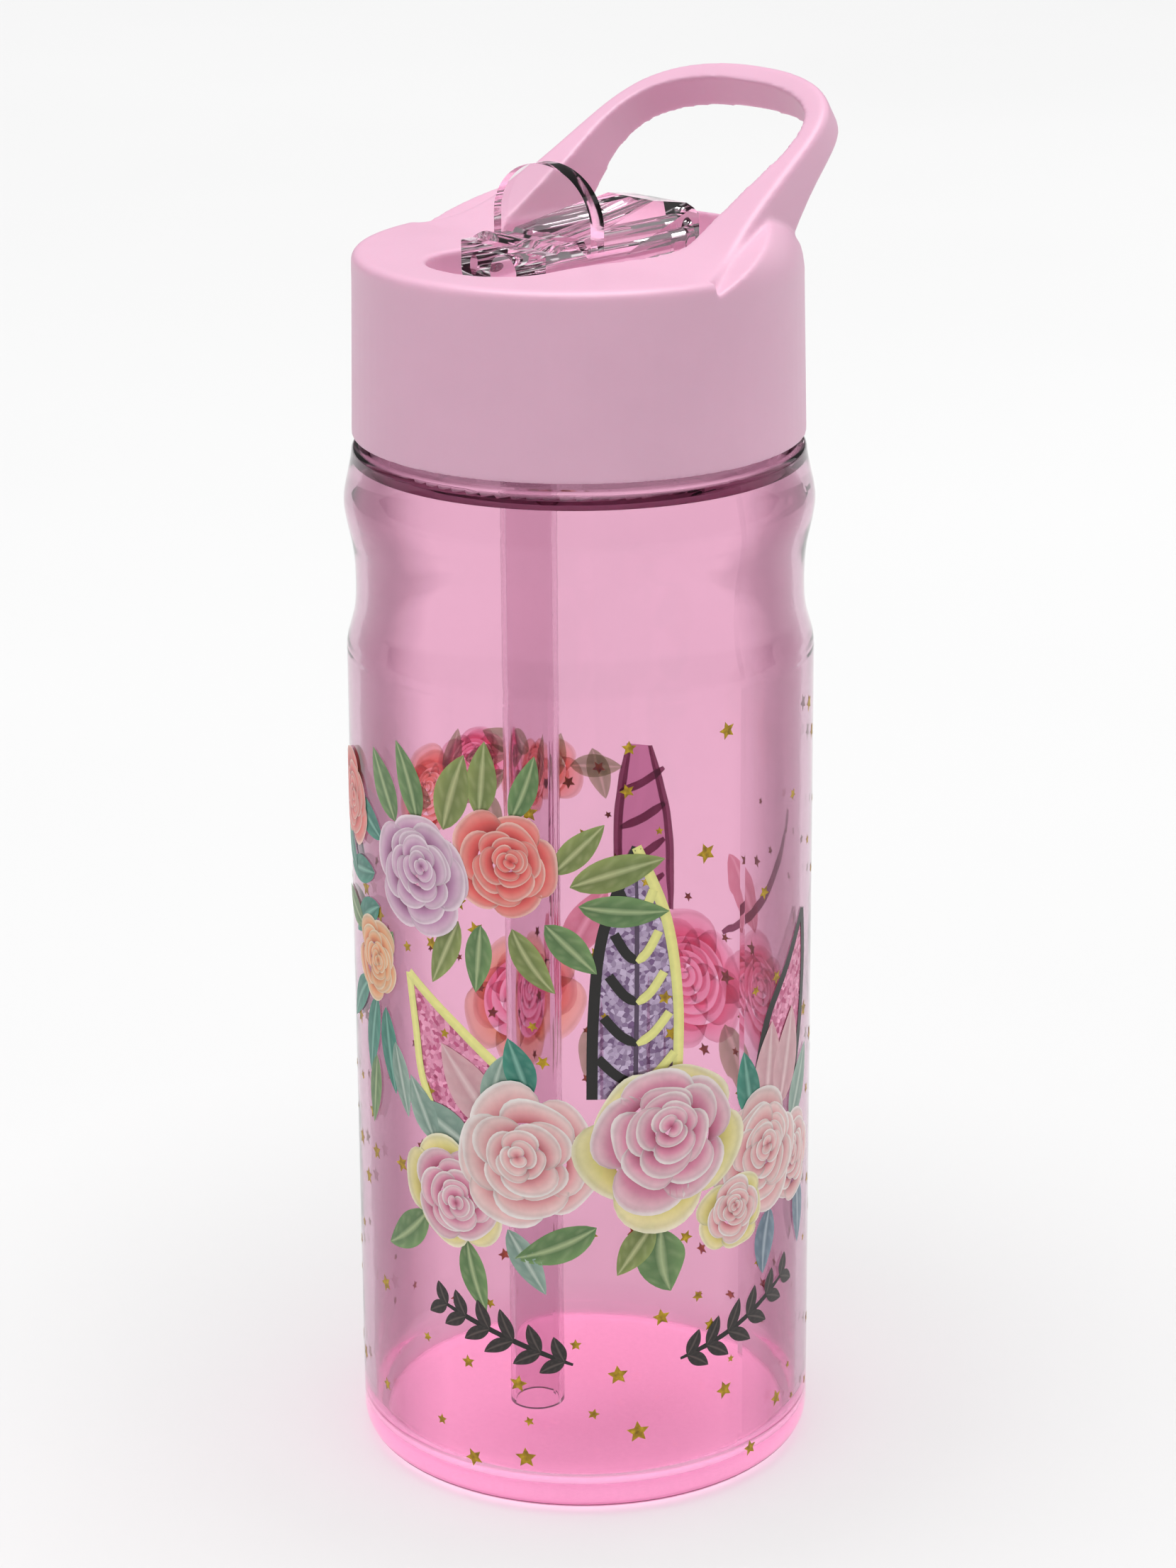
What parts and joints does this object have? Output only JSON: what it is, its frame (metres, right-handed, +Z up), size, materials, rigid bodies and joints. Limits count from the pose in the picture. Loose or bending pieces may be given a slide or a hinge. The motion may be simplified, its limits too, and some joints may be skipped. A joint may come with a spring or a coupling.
{
  "type": "kids water bottle",
  "caption": "Clear drinks bottle with a finger waist, screw lid with sloping carry loop, flip-up spout with thumb tab, and a full-length straw.",
  "frame": {"origin": "centre of the flat base the bottle stands on", "axes": "+Z up along the bottle's axis; the thumb tab and the front of the lid face -Y, the carry loop rises towards +Y; +X is the bottle's left seen from the front"},
  "size_m": [0.072, 0.0773, 0.216],
  "materials": {
    "clear_pink": "clear tinted copolyester, glossy",
    "lid_pink": "satin moulded polypropylene",
    "liner": "moulded polypropylene",
    "clear_spout": "clear polished moulding",
    "clear_straw": "clear extruded tube",
    "silicone": "translucent white silicone",
    "print": "printed inks on the bottle's outside"
  },
  "bodies": {
    "bottle": {"bottle_body": "clear_pink"},
    "seal_ring": {"lid_gasket": "silicone"},
    "lid": {"lid_shell": "lid_pink", "lid_liner": "liner", "spout_seal": "silicone", "straw_connector": "silicone", "drinking_straw": "clear_straw", "vent_valve": "silicone"},
    "spout": {"flip_spout": "clear_spout"}
  },
  "joints": [
    {"name": "lid_rise", "type": "slide", "parent": "bottle", "child": "seal_ring", "axis": [0, 0, 1], "range_m": [0, 0.006]},
    {"name": "lid_turn", "type": "hinge", "parent": "seal_ring", "child": "lid", "pos_m": [0, 0, 0.185], "axis": [0, 0, 1], "range_deg": [0, 540]},
    {"name": "spout_flip", "type": "hinge", "parent": "lid", "child": "spout", "pos_m": [0, -0.0105, 0.191], "axis": [1, 0, 0], "range_deg": [0, 90]}
  ],
  "couplings": [
    {"joint": "lid_rise", "follows": "lid_turn", "m_per_rad": 0.00063662}
  ]
}
